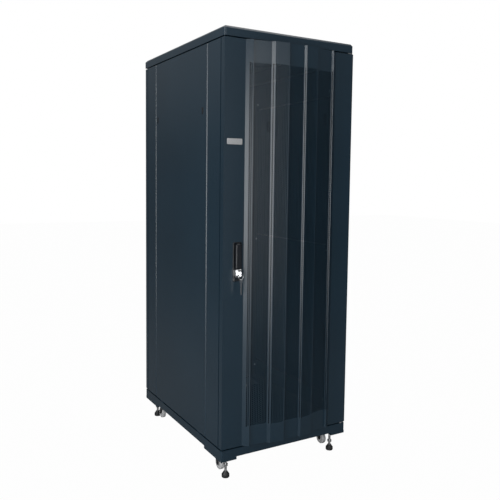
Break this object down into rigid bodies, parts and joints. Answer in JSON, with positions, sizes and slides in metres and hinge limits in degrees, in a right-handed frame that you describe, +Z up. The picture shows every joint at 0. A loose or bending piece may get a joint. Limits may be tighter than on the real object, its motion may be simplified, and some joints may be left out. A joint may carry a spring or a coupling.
{
  "type": "network cabinet",
  "caption": "Free-standing black 19-inch network cabinet: arched perforated front door with swing handle and lock, steel rear door, tilt-off side panels, roof fans, feet and casters",
  "frame": {"origin": "On the floor under the middle of the bounding box", "axes": "+Z up from the floor; the arched front door faces -Y; +X is to the right seen from the front"},
  "size_m": [0.6, 0.858, 1.725],
  "materials": {
    "powder_coat": "blue-black semi-gloss powder coat",
    "door_mesh": "blue-black powder coat on perforated sheet",
    "rail_coat": "black powder coat",
    "zinc_steel": "bright zinc plate",
    "foot_plastic": "black plastic",
    "fork_coat": "black coated steel",
    "wheel_grey": "light grey plastic",
    "handle_plastic": "black moulded plastic",
    "fan_plastic": "black plastic",
    "chrome_plate": "bright chrome plate",
    "plate_silver": "blank silver plate",
    "bristle": "black bristles"
  },
  "bodies": {
    "cabinet": {"base_frame": "powder_coat", "corner_trays": "powder_coat", "foot_bushes": "zinc_steel", "caster_plates": "zinc_steel", "corner_posts": "powder_coat", "top_frame": "powder_coat", "side_braces": "powder_coat", "mounting_rails": "rail_coat", "rail_screws": "zinc_steel", "floor_panels": "powder_coat", "top_cover": "powder_coat", "roof_cable_plate": "powder_coat", "roof_brush_strips": "bristle", "fan_housings": "fan_plastic", "fan_guards": "chrome_plate", "door_hinge_pins": "zinc_steel", "latch_keepers": "zinc_steel"},
    "front_door": {"front_door_shell": "powder_coat", "front_door_mesh": "door_mesh", "front_door_channels": "powder_coat", "front_door_bushes": "zinc_steel", "front_handle_dish": "handle_plastic", "front_lock_body": "chrome_plate", "front_name_plate": "plate_silver"},
    "front_spindle": {"front_handle_spindle": "zinc_steel", "front_latch_cam": "zinc_steel"},
    "front_lever": {"front_handle_lever": "handle_plastic"},
    "front_lock": {"front_lock_plug": "chrome_plate", "front_key": "chrome_plate"},
    "hanging_keys": {"key_ring": "chrome_plate", "spare_key": "chrome_plate"},
    "rear_door": {"rear_door_shell": "powder_coat", "rear_door_channels": "powder_coat", "rear_door_bushes": "zinc_steel"},
    "rear_handle": {"rear_latch_handle": "handle_plastic", "rear_latch_cam": "zinc_steel"},
    "left_panel": {"side_panel_left": "powder_coat"},
    "right_panel": {"side_panel_right": "powder_coat"},
    "latch_left_front": {"side_latch_left_front": "handle_plastic"},
    "latch_left_rear": {"side_latch_left_rear": "handle_plastic"},
    "latch_right_front": {"side_latch_right_front": "handle_plastic"},
    "latch_right_rear": {"side_latch_right_rear": "handle_plastic"},
    "foot_front_left": {"foot_stem_front_left": "zinc_steel", "foot_pad_front_left": "foot_plastic"},
    "foot_front_right": {"foot_stem_front_right": "zinc_steel", "foot_pad_front_right": "foot_plastic"},
    "foot_rear_left": {"foot_stem_rear_left": "zinc_steel", "foot_pad_rear_left": "foot_plastic"},
    "foot_rear_right": {"foot_stem_rear_right": "zinc_steel", "foot_pad_rear_right": "foot_plastic"},
    "fork_front_left": {"caster_fork_front_left": "fork_coat"},
    "wheel_front_left": {"caster_wheel_front_left": "wheel_grey"},
    "fork_front_right": {"caster_fork_front_right": "fork_coat"},
    "wheel_front_right": {"caster_wheel_front_right": "wheel_grey"},
    "fork_rear_left": {"caster_fork_rear_left": "fork_coat"},
    "wheel_rear_left": {"caster_wheel_rear_left": "wheel_grey"},
    "fork_rear_right": {"caster_fork_rear_right": "fork_coat"},
    "wheel_rear_right": {"caster_wheel_rear_right": "wheel_grey"},
    "fan_left": {"fan_impeller_left": "fan_plastic"},
    "fan_right": {"fan_impeller_right": "fan_plastic"}
  },
  "joints": [
    {"name": "front_door_hinge", "type": "hinge", "parent": "cabinet", "child": "front_door", "pos_m": [0.288, -0.3765, 0.9085], "axis": [0, 0, 1], "range_deg": [0, 125]},
    {"name": "front_handle_turn", "type": "hinge", "parent": "front_door", "child": "front_spindle", "pos_m": [-0.238, -0.389, 0.915], "axis": [0, 1, 0], "range_deg": [0, 90]},
    {"name": "front_lever_lift", "type": "hinge", "parent": "front_spindle", "child": "front_lever", "pos_m": [-0.238, -0.3961, 0.917], "axis": [-1, 0, 0], "range_deg": [0, 25]},
    {"name": "front_key_turn", "type": "hinge", "parent": "front_door", "child": "front_lock", "pos_m": [-0.238, -0.404, 0.814], "axis": [0, 1, 0], "range_deg": [0, 90]},
    {"name": "hanging_keys_swing", "type": "hinge", "parent": "front_lock", "child": "hanging_keys", "pos_m": [-0.238, -0.42, 0.8126], "axis": [-1, 0, 0], "range_deg": [-12, 60]},
    {"name": "rear_door_hinge", "type": "hinge", "parent": "cabinet", "child": "rear_door", "pos_m": [0.288, 0.3985, 0.9085], "axis": [0, 0, -1], "range_deg": [0, 120]},
    {"name": "rear_handle_turn", "type": "hinge", "parent": "rear_door", "child": "rear_handle", "pos_m": [-0.238, 0.411, 0.88], "axis": [0, 1, 0], "range_deg": [0, 90]},
    {"name": "left_panel_tilt", "type": "hinge", "parent": "cabinet", "child": "left_panel", "pos_m": [-0.2985, 0.011, 0.128], "axis": [0, -1, 0], "range_deg": [0, 20]},
    {"name": "right_panel_tilt", "type": "hinge", "parent": "cabinet", "child": "right_panel", "pos_m": [0.2985, 0.011, 0.128], "axis": [0, 1, 0], "range_deg": [0, 20]},
    {"name": "latch_left_front_slide", "type": "slide", "parent": "left_panel", "child": "latch_left_front", "axis": [0, 0, -1], "range_m": [0, 0.008]},
    {"name": "latch_left_rear_slide", "type": "slide", "parent": "left_panel", "child": "latch_left_rear", "axis": [0, 0, -1], "range_m": [0, 0.008]},
    {"name": "latch_right_front_slide", "type": "slide", "parent": "right_panel", "child": "latch_right_front", "axis": [0, 0, -1], "range_m": [0, 0.008]},
    {"name": "latch_right_rear_slide", "type": "slide", "parent": "right_panel", "child": "latch_right_rear", "axis": [0, 0, -1], "range_m": [0, 0.008]},
    {"name": "foot_front_left_screw", "type": "slide", "parent": "cabinet", "child": "foot_front_left", "axis": [0, 0, 1], "range_m": [-0.015, 0.018]},
    {"name": "foot_front_right_screw", "type": "slide", "parent": "cabinet", "child": "foot_front_right", "axis": [0, 0, 1], "range_m": [-0.015, 0.018]},
    {"name": "foot_rear_left_screw", "type": "slide", "parent": "cabinet", "child": "foot_rear_left", "axis": [0, 0, 1], "range_m": [-0.015, 0.018]},
    {"name": "foot_rear_right_screw", "type": "slide", "parent": "cabinet", "child": "foot_rear_right", "axis": [0, 0, 1], "range_m": [-0.015, 0.018]},
    {"name": "caster_front_left_swivel", "type": "hinge", "parent": "cabinet", "child": "fork_front_left", "pos_m": [-0.252, -0.271, 0.078], "axis": [0, 0, 1], "continuous": true},
    {"name": "caster_front_left_roll", "type": "hinge", "parent": "fork_front_left", "child": "wheel_front_left", "pos_m": [-0.252, -0.291, 0.034], "axis": [1, 0, 0], "continuous": true},
    {"name": "caster_front_right_swivel", "type": "hinge", "parent": "cabinet", "child": "fork_front_right", "pos_m": [0.252, -0.271, 0.078], "axis": [0, 0, 1], "continuous": true},
    {"name": "caster_front_right_roll", "type": "hinge", "parent": "fork_front_right", "child": "wheel_front_right", "pos_m": [0.252, -0.291, 0.034], "axis": [1, 0, 0], "continuous": true},
    {"name": "caster_rear_left_swivel", "type": "hinge", "parent": "cabinet", "child": "fork_rear_left", "pos_m": [-0.252, 0.293, 0.078], "axis": [0, 0, 1], "continuous": true},
    {"name": "caster_rear_left_roll", "type": "hinge", "parent": "fork_rear_left", "child": "wheel_rear_left", "pos_m": [-0.252, 0.313, 0.034], "axis": [1, 0, 0], "continuous": true},
    {"name": "caster_rear_right_swivel", "type": "hinge", "parent": "cabinet", "child": "fork_rear_right", "pos_m": [0.252, 0.293, 0.078], "axis": [0, 0, 1], "continuous": true},
    {"name": "caster_rear_right_roll", "type": "hinge", "parent": "fork_rear_right", "child": "wheel_rear_right", "pos_m": [0.252, 0.313, 0.034], "axis": [1, 0, 0], "continuous": true},
    {"name": "fan_left_spin", "type": "hinge", "parent": "cabinet", "child": "fan_left", "pos_m": [-0.095, 0.011, 1.7], "axis": [0, 0, 1], "continuous": true},
    {"name": "fan_right_spin", "type": "hinge", "parent": "cabinet", "child": "fan_right", "pos_m": [0.095, 0.011, 1.7], "axis": [0, 0, 1], "continuous": true}
  ]
}
